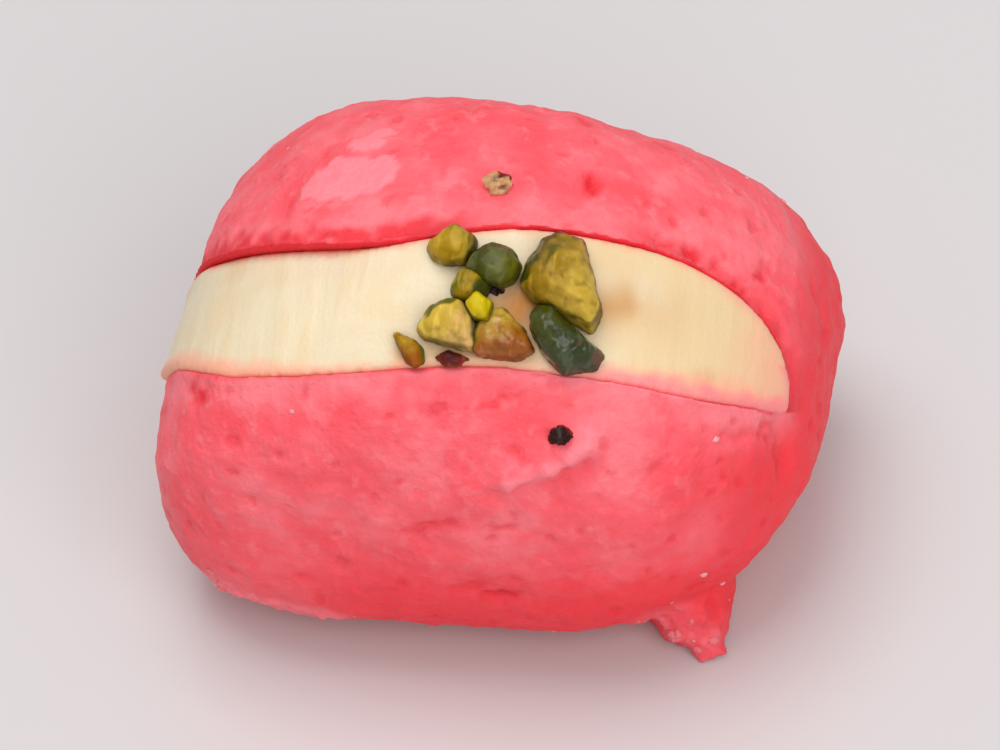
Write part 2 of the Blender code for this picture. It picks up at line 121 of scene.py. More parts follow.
# Syrup from the nuts that stains the cream, as (start, end, radius, strength)
CREAM_STAINS = (
    ((12.0, -8.4, 37.8), (13.4, -7.2, 37.3), 1.9, 0.65),
    ((14.0, -7.0, 37.0), (17.0, -6.6, 35.4), 2.6, 0.20),
    ((4.2, -10.8, 38.5), (7.4, -8.4, 38.7), 2.9, 1.00),
    ((-0.8, -13.6, 37.2), (4.6, -12.8, 37.4), 2.3, 0.75),
    ((-4.4, -14.6, 36.2), (-4.0, -14.4, 36.4), 1.2, 0.70),
    ((20.0, -10.2, 31.4), (21.2, -10.0, 30.6), 0.8, 0.30),
)
# Chopped pistachio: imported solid, slot, colours of its flesh, of its tinted side and of its skin,
# the way the tinted side faces and the way the skin faces, share of skin, roughness, syrup coat and swell
NUTS = (
    ("pistachio_cube", "pistachio_olive", "gold", "leaf", "husk",
     (0.9, 0.5, 0.1), (0.9, 0.3, -0.2), 0.06, 0.42, 0.05, 0.24),
    ("pistachio_green", "pistachio_dark_green", "moss", "leaf", "pine",
     (0.8, -0.6, 0.1), (-0.2, 0.9, 0.5), 0.06, 0.42, 0.10, 0.26),
    ("pistachio_olive", "pistachio_olive", "gold", "leaf", "moss",
     (-0.8, 0.2, 0.4), (0.8, -0.2, 0.2), 0.26, 0.42, 0.05, 0.30),
    ("pistachio_yellow", "pistachio_yellow", "yellow", "gold", "leaf",
     (0.2, -0.4, -0.8), (-0.6, 0.6, 0.2), 0.10, 0.36, 0.10, 0.16),
    ("pistachio_pale", "pistachio_pale_green", "straw", "peach", "leaf",
     (0.9, -0.5, -0.2), (-0.5, 0.7, 0.4), 0.24, 0.45, 0.08, 0.26),
    ("pistachio_shard", "pistachio_brown", "amber", "gold", "leaf",
     (-0.3, 0.3, 0.9), (0.9, 0.3, 0.1), 0.14, 0.45, 0.05, 0.20),
    ("pistachio_skin", "pistachio_husk", "husk", "soot", "amber",
     (0.0, 0.0, 1.0), (0.0, 1.0, 0.3), 0.08, 0.45, 0.10, 0.0),
    ("pistachio_syrupy", "pistachio_syrup", "amber", "straw", "leaf",
     (-0.2, 0.5, 0.9), (-1.0, 0.1, 0.0), 0.24, 0.22, 0.60, 0.30),
    ("pistachio_wedge", "pistachio_olive", "olive", "straw", "moss",
     (0.9, -0.4, 0.3), (-0.6, 0.8, 0.1), 0.36, 0.32, 0.14, 0.18),
    ("pistachio_dark", "pistachio_dark_green", "pine", "moss", "bark",
     (-0.6, 0.4, 0.6), (0.9, -0.2, 0.0), 0.10, 0.22, 0.60, 0.26),
)
# Crumbs that lie on the sponge and the cream: name, slot, middle, radii, colour, colour of its spots
NUT_CRUMBS = (
    ("crumb_beige", "pistachio_brown", (1.5, 1.1, 41.9), (1.45, 1.25, 1.15), "biscuit", "husk"),
    ("crumb_black", "pistachio_husk", (9.25, -17.9, 31.15), (1.2, 0.75, 1.15), "soot", "husk"),
    ("crumb_husk", "pistachio_husk", (2.7, -9.2, 39.45), (0.75, 0.55, 0.45), "soot", "husk"),
)
# Noises, as (seed, size of their lumps, amount). A setting gives the size where there is none here, and
# each nut, crumb and direction adds its own number to the seed.
NOISES = {
    "warp": (1, 1.3, 0.6),
    "jag": (6, 1.1, 0.55),
    "pits": (18, 1.7, 1.0),
    "tatters": (12, 1.2, 1.0),
    "fine tatters": (13, 0.6, 0.5),
    "dents": (11, None, 1.0),
    "lumps": (2, None, 1.0),
    "grain": (3, None, 1.0),
    "ripples": (4, None, 1.0),
    "blur": (5, 1.6, 0.35),
    "drift": (14, 3.0, 0.8),
    "thick cream": (17, 4.5, 9.0),
    "chips": (10, None, 0.7),
    "fine chips": (20, None, 0.35),
    "wobble": (30, 1.0, 0.35),
    "crumb": (50, 0.7, 0.45),
    "fine crumb": (60, 0.3, 0.20),
    "crumb tint": (70, 0.8, 1.0),
    "crumb spots": (80, 0.6, 0.6),
}
SEED_STEPS = (17.3, 5.1, 9.7)

# Masks that change smoothly over a measure, as (where the change starts, where it ends, value before it,
# value after it, how far noise moves it), or less where the rest is as usual. A measure is a place or
# distance, a share of a reach, a noise, or how squarely the surface faces some way.
USUAL_BAND = (0.0, 1.0, 0.0)
BANDS = {
    "wall facing": (-0.1, 0.25),
    "wall touching": (0.5, 0.9),
    "pit": (0.42, 0.62),
    "dry patch": (1.10, 0.94, 0.0, 1.0, 0.5),
    "strip": (2.9, 1.6, 0.0, 1.0, 1.6),
    "strip at left": (3.0, -4.0, 0.15, 1.0),
    "strip at right": (11.0, 15.0, 0.15, 0.66),
    "torn": (1.0, 0.3),
    "torn crest": (-0.1, 0.4, 0.0, 0.6),
    "overlap": (1.8, 0.3),
    "overlap at left": (6.0, -4.0, 0.0, 0.25),
    "smear": (1.3, 0.3, 0.0, 1.0, 0.8),
    "smear at right": (3.0, 12.0),
    "lip": (4.5, 0.4, 0.0, 1.0, 2.0),
    # Painted shade low on the sponge and on its right end
    "low": (22.5, 9.0, 0.0, 1.0, 3.0),
    "low from left": (-24.0, -4.0, 0.35, 1.0),
    "low at right": (6.0, 16.0, 0.0, 0.12),
    "end": (0.35, 0.85),
    "end below rim": (31.0, 21.0),
    "end beyond cream": (0.0, 5.0),
    "face": (0.45, 0.9),
    "face at left end": (0.6, 0.9),
    "ripples at left": (-4.0, -14.0, 0.35, 1.0),
    "rim lower": (0.0, 8.0, 0.0, 0.5),
    # Painted pink light from the sponge at the cream's edges
    "bleed": (1.1, 0.2),
    "bleed reach at left": (-8.0, -22.0),
    "bleed reach at right": (6.0, 20.0, 0.0, 1.3),
    "bleed reach at tip": (16.0, 25.0, 0.0, 1.2),
    "bleed strength": (-8.0, -22.0, 0.8, 0.95),
    "bleed at tip": (21.0, 27.0, 0.0, 0.75, 2.0),
    "rubbed in": (1.9, 0.4, 0.0, 1.0, 1.6),
    "rubbed in at right": (4.0, 16.0),
    "thick cream": (4.0, 16.0, 0.0, 0.9, 1.0),
    "nut tint": (-0.10, 0.85, 0.0, 1.0, 1.0),
    "nut skin": (-2.2, -0.9),
    # Painted shade on the nuts' sides and undersides
    "nut rim": (0.50, 0.0, 0.0, 0.80, 0.6),
    "crumb tint": (0.1, 0.5),
    "crumb spots": (0.55, 0.72),
    # Painted shade in the crumbs' hollows
    "crumb hollows": (0.9, 0.6, 0.0, 0.6),
    "sugar": (16.0, 5.0, 0.25, 1.0),
}

# Sponge: how near the cream its skin is a wall of the slit, how smooth the walls are and how much painted
# shade the front wall gets, how much of the kneaded relief lies below the solid, height and painted shade of
# the marks, how far past the cream the back lobe counts, the most painted shade low on the sponge, and how
# high and how far the underside is pressed down
WALL_REACH = 3.5
TOUCH_REACH = 0.8
WALL_SMOOTHNESS = 0.8
FRONT_WALL_SHADE = 0.1
SUNK = 0.5
PATCH_REACH_UP = 3.0
BLOOM_HEIGHT = 0.08
PIT_DEPTH = 0.20
PIT_SHADE = 0.35
STRIP_DEPTH = 0.20
STRIP_SHADE = 0.9
END_BACK = 5.0
ROSE_SHADE_MOST = 1.08
PRESSED_REACH = 2.0
PRESSED_GAP = 0.36
# Cream: where its front half ends, how far its left end counts as face, how little its ripples change
# across the slit, and its raised rim
FRONT_HALF = 9.0
LEFT_TILT = 0.4
RIPPLE_STRETCH = 0.15
RIM_HEIGHT = 0.55
RIM_REACH = 1.1
# Nuts: their fine chips as a share of the chip size, and the crumbs' size, spots and finish
FINE_CHIP_SIZE = 0.4
CRUMB_SIZE = 0.85
SPOT_WAY = np.array((0.66, 0.58, 0.46))
CRUMB_ROUGHNESS = 0.5
CRUMB_COAT = 0.1
# Grains stay this far inside the box, off the walls of the slit and above the floor
GRAIN_MARGIN = 0.45
GRAIN_WALL = 0.1
GRAIN_ABOVE = 0.6
# Hair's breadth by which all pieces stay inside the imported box
BOX_MARGIN = 0.005

# Stage, in metres: side and place of each light, the point that both face, tint of the room light, the
# floor a hair below the sweet, and the camera's range of view, with its sensor in millimetres
KEY_LIGHT = (0.6, (-0.14, 0.06, 0.95))
FILL_LIGHT = (0.8, (0.44, -0.68, 0.68))
LIGHT_AIM = (0.0, 0.0, 0.02)
ROOM_TINT = (1.0, 0.99, 0.98, 1.0)
FLOOR_LEVEL = -0.00004
CLIP_RANGE = (0.05, 20.0)
SENSOR_WIDTH = 36.0


def linear(code):
    """Linear RGB of an sRGB hex colour."""
    parts = [int(code[i:i + 2], 16) / 255.0 for i in (1, 3, 5)]
    return tuple(p / 12.92 if p <= 0.04045 else ((p + 0.055) / 1.055) ** 2.4 for p in parts)


def colour(label, code, note):
    """Colour setting with its default given as an sRGB hex value."""
    return FloatVectorProperty(name=label, description=note, default=linear(code), subtype="COLOR",
                               size=3, min=0.0, max=1.0)


def length(label, default, note):
    """Length setting in metres."""
    return FloatProperty(name=label, description=note, default=default, unit="LENGTH", precision=5, min=0.0)


def amount(label, default, note, unit="NONE"):
    """Setting for a factor, a density or a power."""
    return FloatProperty(name=label, description=note, default=default, unit=unit, min=0.0)


def count(label, default, least, most, note):
    """Whole-number setting."""
    return IntProperty(name=label, description=note, default=default, min=least, max=most)


class ChumSpongeSettings(bpy.types.PropertyGroup):
    face_size: length("Face size", 0.00038, "Edge of the faces that the skin is made of")
    softening: count("Softening", 8, 0, 20, "Rounds of smoothing that take out the facets")
    dent_size: length("Dent size", 0.0075, "Width of the broad dents left by kneading")
    dent_height: length("Dent height", 0.00026, "How deep the dents are")
    lump_size: length("Lump size", 0.0024, "Width of the pressed curds that show in the skin")
    lump_height: length("Lump height", 0.00022, "How far the curds stand out")
    grain_size: length("Grain size", 0.0009, "Width of the fine grain of the curd")
    grain_height: length("Grain height", 0.00010, "How deep the fine grain is")
    torn_height: length("Torn height", 0.00038, "How ragged the torn skin is")
    pink: colour("Pink", "#FB626D", "Colour of the soaked curd")
    blush: colour("Blush", "#FC838C", "Colour of its drier, paler blotches")
    # Rose gives random deeper blotches, and painted shade low on the sponge and on its right end
    rose_and_painted_shade: colour("Rose", "#F43843", "Colour where more syrup has gathered")
    # The cut colour is the cut curd's red with painted shade, on the slit's walls, in the cracks and pits
    # and on the strip beside the cream
    cut: colour("Cut face", "#E42936", "Colour of the cut walls of the slit")
    bloom: colour("Bloom", "#FD8590", "Colour of the dry patches")


class ChumCreamSettings(bpy.types.PropertyGroup):
    face_size: length("Face size", 0.00028, "Edge of the faces that the cream is made of")
    softening: count("Softening", 14, 0, 20, "Rounds of smoothing that take out the facets")
    spread: length("Spread", 0.00045, "How far the cream spreads against the walls of the slit")
    ripple_size: length("Ripple size", 0.0022, "Distance between the soft ripples across the face")
    ripple_height: length("Ripple height", 0.00010, "How deep the ripples are")
    ivory: colour("Ivory", "#E6D6B6", "Colour of the cream")
    butter: colour("Butter", "#E3C79A", "Colour of its thicker, yellower streaks")
    # Peach is painted pink light from the sponge, at the cream's edges and right end
    peach: colour("Peach", "#F5A98E", "Colour where syrup from the sponge has bled into it")
    soaked: colour("Soaked", "#FF8A8C", "Colour where the cream is rubbed into the sponge")
    honey: colour("Honey", "#C07E30", "Colour where syrup from the nuts has bled into it")


class ChumNutSettings(bpy.types.PropertyGroup):
    face_size: length("Face size", 0.00011, "Edge of the faces that each piece is made of")
    softening: count("Softening", 14, 0, 20, "Rounds of smoothing that round the cut edges")
    swell: amount("Swell", 1.1, "How far the flesh has swollen with syrup, as a factor")
    chip_size: length("Chip size", 0.0011, "Width of the chips that the knife leaves")
    chip_height: length("Chip height", 0.00017, "How deep the chips are")
    crumb_faces: count("Crumb detail", 4, 2, 5, "Subdivisions of the small crumbs")
    gold: colour("Gold", "#A2820A", "Yellow-green flesh of a ripe kernel")
    olive: colour("Olive", "#927208", "Olive flesh of a kernel soaked in syrup")
    leaf: colour("Leaf", "#5E5E0C", "Green flesh just under the skin")
    moss: colour("Moss", "#42460A", "Dark green outer flesh")
    pine: colour("Pine", "#303A14", "Blue-green flesh, wet with syrup")
    yellow: colour("Yellow", "#C4AE08", "Bright cut flesh")
    straw: colour("Straw", "#C2A43C", "Pale flesh of an unripe kernel")
    peach: colour("Peach", "#D4AA6C", "Pale flesh stained by syrup")
    amber: colour("Amber", "#945208", "Flesh browned by syrup")
    # Edge is laid on as painted shade on the nuts' sides and undersides
    edge: colour("Edge", "#2E2C08", "Dark rim of a soaked piece, where light doesn't come through")
    bark: colour("Bark", "#5A4028", "Dull brown skin, soaked and split")
    husk: colour("Husk", "#6A1A12", "Thin purple-brown skin of the kernel")
    biscuit: colour("Biscuit", "#BC9068", "Roasted crumb")
    # Soot also serves as painted shade in the crumbs' hollows
    soot: colour("Soot", "#23100F", "Dried dark skin")


class ChumScatterSettings(bpy.types.PropertyGroup):
    sugar_density: amount("Sugar density", 9000.0, "Sugar grains on a square metre of skin")
    sugar_size: length("Sugar size", 0.00034, "Radius of the largest sugar grains")
    crumb_density: amount("Crumb density", 180000.0, "Curd crumbs on a square metre of torn skin")
    crumb_size: length("Crumb size", 0.00046, "Radius of the largest curd crumbs")
    seed: count("Seed", 7, 0, 1000, "Which scattering is drawn")
    sugar: colour("Sugar", "#FFA6A8", "Colour of the sugar grains")
    curd: colour("Curd crumb", "#FB7C84", "Colour of the curd crumbs")


class ChumStageSettings(bpy.types.PropertyGroup):
    floor_size: length("Floor size", 3.0, "Side of the floor")
    key_power: amount("Key light", 4.6, "Power of the large soft light over the left", "POWER")
    fill_power: amount("Fill light", 5.4, "Power of the soft light beside the camera", "POWER")
    sky_strength: amount("Room light", 0.50, "Strength of the light from all round")
    camera_place: FloatVectorProperty(name="Camera place", description="Where the camera stands",
                                      default=(0.139427, -0.576115, 0.656772), subtype="TRANSLATION",
                                      unit="LENGTH", size=3)
    camera_turn: FloatVectorProperty(name="Camera turn", description="How the camera is turned",
                                     default=[math.radians(a) for a in (42.737, 3.851, 9.445)],
                                     subtype="EULER", size=3)
    camera_lens: amount("Lens", 353.1, "Focal length in millimetres")
    floor: colour("Floor", "#D0CDCE", "Colour of the floor")


def add_node(tree, kind, inputs=None, **settings):
    """Adds a node with its settings, and gives each named input a value or a link."""
    node = tree.nodes.new(kind)
    for key, value in settings.items():
        setattr(node, key, value)
    for key, value in (inputs or {}).items():
        if isinstance(value, bpy.types.NodeSocket):
            tree.links.new(value, node.inputs[key])
        else:
            node.inputs[key].default_value = value
    return node


def new_material(name):
    """Node material, its tree and the places on the object, with no shader yet."""
    material = bpy.data.materials.new(name)
    material.use_nodes = True
    tree = material.node_tree
    tree.nodes.clear()
    return material, tree, add_node(tree, "ShaderNodeTexCoord").outputs["Object"]


def solid_rgb(rgb):
    """RGB with full alpha."""
    return (*rgb, 1.0)


def shade(rgb, factor, lift=0.0):
    """RGB made lighter or darker."""
    return tuple(min(1.0, part * factor + lift) for part in rgb)


def repeats(size):
    """Scale of a texture whose pattern has that size in millimetres."""
    return 1.0 / (size * MM)


def surface_masks(tree, attributes, bands):
    """Masks by name: the mesh's own attributes, and bands of textures as (texture, start, end, strength)."""
    masks = {key: add_node(tree, "ShaderNodeAttribute", attribute_name=key).outputs["Fac"]
             for key in attributes}
    for key, (texture, start, end, strength) in bands.items():
        band_node = add_node(tree, "ShaderNodeMapRange", {
            "Value": texture.outputs["Fac"], "From Min": start, "From Max": end, "To Max": strength},
            interpolation_type="SMOOTHSTEP")
        masks[key] = band_node.outputs["Result"]
    return masks


def layered_tone(tree, base, layers):
    """Colour of a base with other colours laid over it, each by its own mask."""
    tone = solid_rgb(base)
    for mask, rgb in layers:
        laid = add_node(tree, "ShaderNodeMix", {0: mask, 6: tone, 7: solid_rgb(rgb)}, data_type="RGBA")
        tone = laid.outputs[2]
    return tone


def merged_copy(name, node):
    """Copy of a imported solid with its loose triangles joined."""
    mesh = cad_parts[node].data.copy()
    mesh.name = name
    mesh.materials.clear()
    bm = bmesh.new()
    bm.from_mesh(mesh)
    bmesh.ops.remove_doubles(bm, verts=bm.verts, dist=1e-7)
    bm.to_mesh(mesh)
    bm.free()
    return link_mesh(name, mesh)


def link_mesh(name, mesh):
    """Object of that mesh, in the scene, with its place in its vertices."""
    piece = bpy.data.objects.new(name, mesh)
    bpy.context.scene.collection.objects.link(piece)
    return piece


def apply_modifiers(piece):
    """Turns a piece and its modifiers into a plain mesh."""
    graph = bpy.context.evaluated_depsgraph_get()
    mesh = bpy.data.meshes.new_from_object(piece.evaluated_get(graph))
    piece.modifiers.clear()
    old, piece.data = piece.data, mesh
    bpy.data.meshes.remove(old)
    mesh.name = piece.name


def even_skin(piece, face_size, softening):
    """Gives a piece small even faces and softens its facets."""
    remesh = piece.modifiers.new("even faces", "REMESH")
    remesh.mode = "VOXEL"
    remesh.voxel_size = face_size
    smooth = piece.modifiers.new("soften", "SMOOTH")
    smooth.factor = 0.5
    smooth.iterations = softening
    apply_modifiers(piece)


def places(mesh):
    """Points and normals of a mesh's vertices, in millimetres."""
    points = np.empty(len(mesh.vertices) * 3)
    mesh.vertices.foreach_get("co", points)
    normals = np.empty(len(mesh.vertices) * 3)
    mesh.vertex_normals.foreach_get("vector", normals)
    return points.reshape(-1, 3) / MM, normals.reshape(-1, 3)


def box_corners():
    """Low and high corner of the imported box, in millimetres."""
    return (np.array(corner) / MM for corner in packed_box)


def set_places(mesh, points):
    """Moves a mesh's vertices to the points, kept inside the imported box."""
    low, high = box_corners()
    kept = np.clip(points, low + BOX_MARGIN, high - BOX_MARGIN)
    mesh.vertices.foreach_set("co", (kept * MM).ravel())
    mesh.update()


def set_masks(mesh, masks):
    """Stores each mask as an attribute with one number for each vertex."""
    for name, values in masks.items():
        attribute = mesh.attributes.new(name, "FLOAT", "POINT")
        attribute.data.foreach_set("value", np.asarray(values, np.float32))


def band(name, values, noises=0.0):
    """Mask of the BANDS table for each value of its measure."""
    row = BANDS[name]
    start, end, before, after, raggedness = row + USUAL_BAND[len(row) - 2:]
    share = np.clip((values + raggedness * noises - start) / (end - start), 0.0, 1.0)
    return before + (after - before) * share * share * (3.0 - 2.0 * share)


def noise_at(points, name, size=None, number=0):
    """Smooth noise of the NOISES table at each point."""
    seed, usual_size, amount = NOISES[name]
    shift = Vector([(seed + number) * step for step in SEED_STEPS])
    return amount * np.array([noise.noise(Vector(p) / (size or usual_size) + shift) for p in points])


def jittered(points, name):
    """Points moved about by noise, so that what is measured from them has uneven edges."""
    return points + np.stack([noise_at(points, name, number=axis) for axis in range(3)], 1)


def segment_distance(points, start, end):
    """Distance of each point from a line between two places."""
    start, end = np.array(start), np.array(end)
    along = end - start
    share = np.clip((points - start) @ along / max(along @ along, 1e-9), 0.0, 1.0)
    return np.linalg.norm(points - start - share[:, None] * along, axis=1)


def tree_of(node):
    """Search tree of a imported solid's faces, in metres."""
    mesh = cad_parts[node].data
    return BVHTree.FromPolygons([v.co for v in mesh.vertices], [p.vertices for p in mesh.polygons])


def nearest(tree, points):
    """Nearest place on a solid to each point, and how far it is, in millimetres."""
    found = [tree.find_nearest(Vector(p) * MM) for p in points]
    return np.array([f[0] for f in found]) / MM, np.array([f[3] for f in found]) / MM


def finish_piece(piece, material, slot, *nodes):
    """Gives a piece its material and its part in the frame."""
    piece.data.materials.clear()
    piece.data.materials.append(material)
    piece.data.shade_smooth()
    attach(piece, "root")
    if nodes:
        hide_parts(*nodes)


def cut_walls(points, normals):
    """Where the sponge's skin is a wall of the slit, from 0 to 1, whether it is on the back lobe, and how
    far the cream is."""
    cream_places, distance = nearest(tree_of("malai_filling"), points)
    toward = (cream_places - points) @ ACROSS_SLIT
    facing = (normals @ ACROSS_SLIT) * np.sign(toward)
    straight = ((cream_places - points) * normals).sum(1) / np.maximum(distance, 1e-6)
    walls = band("wall facing", facing) * (distance < WALL_REACH)
    touching = band("wall touching", straight) * (distance < TOUCH_REACH)
    return np.maximum(walls, touching), toward < 0.0, distance


def skin_marks(points, jagged, warp):
    """Height, painted shade and paleness of the cracks, the scar and the dry patches in the skin."""
    height, crease, bloom = (np.zeros(len(points)) for _ in range(3))
    for start, end, width, depth, redness in SPONGE_MARKS:
        near = np.exp(-(segment_distance(jagged, start, end) / (width * (1.0 + warp))) ** 2)
        height -= depth * near * (1.0 + warp)
        crease = np.maximum(crease, redness * near)
        bloom = np.maximum(bloom, -redness * near)
    for middle, reach_x, reach_y in PALE_PATCHES:
        away = (points - np.array(middle)) / np.array((reach_x, reach_y, PATCH_REACH_UP))
        bloom = np.maximum(bloom, band("dry patch", np.linalg.norm(away, axis=1), warp))
    return height, crease, bloom


def torn_skin(points, jagged):
    """Where the skin is torn, from 0 to 1, how pale it is there and how its tatters stand."""
    torn, pale = (np.zeros(len(points)) for _ in range(2))
    for start, end, reach, paleness in TORN_SKIN:
        near = band("torn", segment_distance(jagged, start, end) / reach)
        torn = np.maximum(torn, near)
        pale = np.maximum(pale, paleness * near)
    tatters = noise_at(points, "tatters") + noise_at(points, "fine tatters")
    return torn, np.maximum(pale, torn * band("torn crest", tatters)), tatters


def cut_strip(along, distance, warp):
    """Strip of cut curd beside the cream, which gets painted shade: full at the left, thin in the middle and
    wider at the right.
    """
    share = np.maximum(band("strip at left", along), band("strip at right", along))
    return share * band("strip", distance, warp)


def painted_rose_shade(along, up, right_facing, back, distance, warp):
    """Painted shade: deeper red low on the sponge, and on its right end below the rim, where it is also a
    painted reflection of pink.
    """
    low = (band("low from left", along) + band("low at right", along)) * band("low", up, warp)
    end = band("end", right_facing) * band("end below rim", up)
    end *= band("end beyond cream", distance + END_BACK * back)
    return np.clip(np.maximum(low, end), 0.0, ROSE_SHADE_MOST)


def kneaded(points, s):
    """Height of the dents, lumps and grain of the curd, which lie mostly below the solid's skin."""
    layers = (("dents", s.dent_size, s.dent_height), ("lumps", s.lump_size, s.lump_height),
              ("grain", s.grain_size, s.grain_height))
    return sum((noise_at(points, name, size / MM) - SUNK) * height / MM for name, size, height in layers)


def press_down(points):
    """Sets the underside, which the solid holds a little over its flat spot, down on the plate."""
    low = points[:, 2] < PRESSED_REACH
    points[low, 2] = np.maximum(points[low, 2] - PRESSED_GAP * (1.0 - points[low, 2] / PRESSED_REACH), 0.0)


def open_face(normals):
    """Where the cream's surface is its open face, from 0 to 1."""
    left_facing = -normals[:, 0]
    face = band("face", normals @ OUT_OF_SLIT + LEFT_TILT * np.maximum(left_facing, 0.0))
    return np.maximum(face, band("face at left end", left_facing))


def cream_height(points, face, in_front, distance, s):
    """How far the cream spreads against the walls, ripples on its face and rises to its rim."""
    along = points[:, 0]
    flat = np.stack([along, RIPPLE_STRETCH * points @ ACROSS_SLIT, np.zeros(len(points))], 1)
    ripples = noise_at(flat, "ripples", s.ripple_size / MM) * band("ripples at left", along) * face
    rim = RIM_HEIGHT * np.exp(-(distance / RIM_REACH) ** 2) * face
    rim *= 1.0 - in_front * band("rim lower", along)
    return (1.0 - face) * s.spread / MM + ripples * s.ripple_height / MM + rim


def painted_pink_glow(along, in_front, distance, blur):
    """Painted pink light from the sponge in the cream: along its edges and at its right end."""
    reach = 1.0 + in_front * (band("bleed reach at left", along) + band("bleed reach at right", along))
    reach += band("bleed reach at tip", along)
    bleed = band("bleed", (distance + blur) / reach) * band("bleed strength", along)
    return np.maximum(bleed, band("bleed at tip", along, blur))


def nut_syrup(points):
    """Where syrup from the nuts stains the cream."""
    honey = np.zeros(len(points))
    drifted = jittered(points, "drift")
    for start, end, radius, strength in CREAM_STAINS:
        away = segment_distance(drifted, start, end) / radius
        honey = np.maximum(honey, strength * np.exp(-away ** 2))
    return honey


def curd_material(name, s):
    """Chhena, fresh curd kneaded, boiled and soaked in pink syrup: moist and soft, with a low, broad sheen,
    light that sinks in, drier paler blotches and a grain of half a millimetre. Its deeper red low down, on
    its right end, in its cracks and pits and on the slit's walls is painted shade."""
    material, tree, where = new_material(name)
    cloud, fleck, grain = (add_node(tree, "ShaderNodeTexNoise", {
        "Vector": where, "Scale": repeats(size), "Detail": 3.0, "Roughness": roughness})
        for size, roughness in ((6.667, 0.6), (1.923, 0.6), (0.5263, 0.7)))
    pores = add_node(tree, "ShaderNodeTexVoronoi", {
        "Vector": where, "Scale": repeats(0.9091), "Randomness": 1.0})
    masks = surface_masks(tree, ("wall", "bloom", "crease", "lip", "low"), {
        "pale": (cloud, 0.46, 0.68, 0.60),
        "deep": (cloud, 0.50, 0.32, 0.35),
        "spots": (fleck, 0.52, 0.70, 0.50)})
    edge = add_node(tree, "ShaderNodeMath", {0: masks["lip"], 1: 0.75}, operation="MULTIPLY")
    # The low mask lays rose on as painted shade low on the sponge, and as painted shade and a painted pink
    # reflection on its right end
    soaked = add_node(tree, "ShaderNodeMath", {0: masks["low"], 1: 0.92}, operation="MULTIPLY")
    # The crease and wall masks lay the cut colour on as painted shade
    tone = layered_tone(tree, s.pink, (
        (edge.outputs[0], s.blush), (masks["pale"], s.blush), (masks["deep"], s.rose_and_painted_shade),
        (masks["spots"], s.blush), (soaked.outputs[0], s.rose_and_painted_shade), (masks["crease"], s.cut),
        (masks["wall"], s.cut), (masks["bloom"], s.bloom)))
    rough = add_node(tree, "ShaderNodeMapRange", {
        "Value": fleck.outputs["Fac"], "From Min": 0.3, "From Max": 0.7, "To Min": 0.44, "To Max": 0.62})
    pit = add_node(tree, "ShaderNodeMath", {0: pores.outputs["Distance"], 1: 0.5}, operation="MULTIPLY")
    height = add_node(tree, "ShaderNodeMath", {0: grain.outputs["Fac"], 1: pit.outputs[0]}, operation="ADD")
    relief = add_node(tree, "ShaderNodeMath", {0: fleck.outputs["Fac"], 1: 1.6, 2: height.outputs[0]},
                      operation="MULTIPLY_ADD")
    bump = add_node(tree, "ShaderNodeBump", {
        "Height": relief.outputs[0], "Strength": 0.55, "Distance": 0.28 * MM})
    shader = add_node(tree, "ShaderNodeBsdfPrincipled", {
        "Base Color": tone, "Roughness": rough.outputs["Result"], "Normal": bump.outputs["Normal"],
        "IOR": 1.40, "Specular IOR Level": 0.30, "Subsurface Weight": 0.22,
        "Subsurface Radius": (1.0, 0.32, 0.26), "Subsurface Scale": 2.2 * MM})
    add_node(tree, "ShaderNodeOutputMaterial", {"Surface": shader.outputs[0]})
    return material


def cream_material(name, s):
    """Malai, clotted cream worked to a paste: smooth and a little glossy, with faint ripples across the slit
    from the knife and with painted pink light from the sponge at its edges."""
    material, tree, where = new_material(name)
    level = add_node(tree, "ShaderNodeMapping", {"Vector": where, "Rotation": (-SLIT_TILT, 0.0, 0.0)})
    stretched = add_node(tree, "ShaderNodeMapping", {"Vector": level.outputs[0], "Scale": (1.0, 0.16, 0.4)})
    streak = add_node(tree, "ShaderNodeTexNoise", {
        "Vector": stretched.outputs[0], "Scale": repeats(1.613), "Detail": 3.0, "Roughness": 0.55,
        "Distortion": 0.4})
    cloud, grain = (add_node(tree, "ShaderNodeTexNoise", {
        "Vector": where, "Scale": repeats(size), "Detail": 2.0}) for size in (5.263, 0.3846))
    masks = surface_masks(tree, ("bleed", "honey", "soaked", "rich"), {
        "thick": (streak, 0.48, 0.68, 0.35),
        "cloudy": (cloud, 0.45, 0.7, 0.4)})
    tone = layered_tone(tree, s.ivory, (
        (masks["rich"], s.butter), (masks["thick"], s.butter), (masks["cloudy"], s.butter),
        (masks["honey"], s.honey), (masks["bleed"], s.peach), (masks["soaked"], s.soaked)))
    relief = add_node(tree, "ShaderNodeMath", {0: streak.outputs["Fac"], 1: 2.2, 2: grain.outputs["Fac"]},
                      operation="MULTIPLY_ADD")
    bump = add_node(tree, "ShaderNodeBump", {
        "Height": relief.outputs[0], "Strength": 0.30, "Distance": 0.18 * MM})
    rough = add_node(tree, "ShaderNodeMapRange", {
        "Value": cloud.outputs["Fac"], "From Min": 0.3, "From Max": 0.7, "To Min": 0.36, "To Max": 0.48})
    shader = add_node(tree, "ShaderNodeBsdfPrincipled", {
        "Base Color": tone, "Roughness": rough.outputs["Result"], "Normal": bump.outputs["Normal"],
        "IOR": 1.45, "Specular IOR Level": 0.4, "Subsurface Weight": 0.3,
        "Subsurface Radius": (1.0, 0.75, 0.45), "Subsurface Scale": 1.8 * MM})
    add_node(tree, "ShaderNodeOutputMaterial", {"Surface": shader.outputs[0]})
    return material


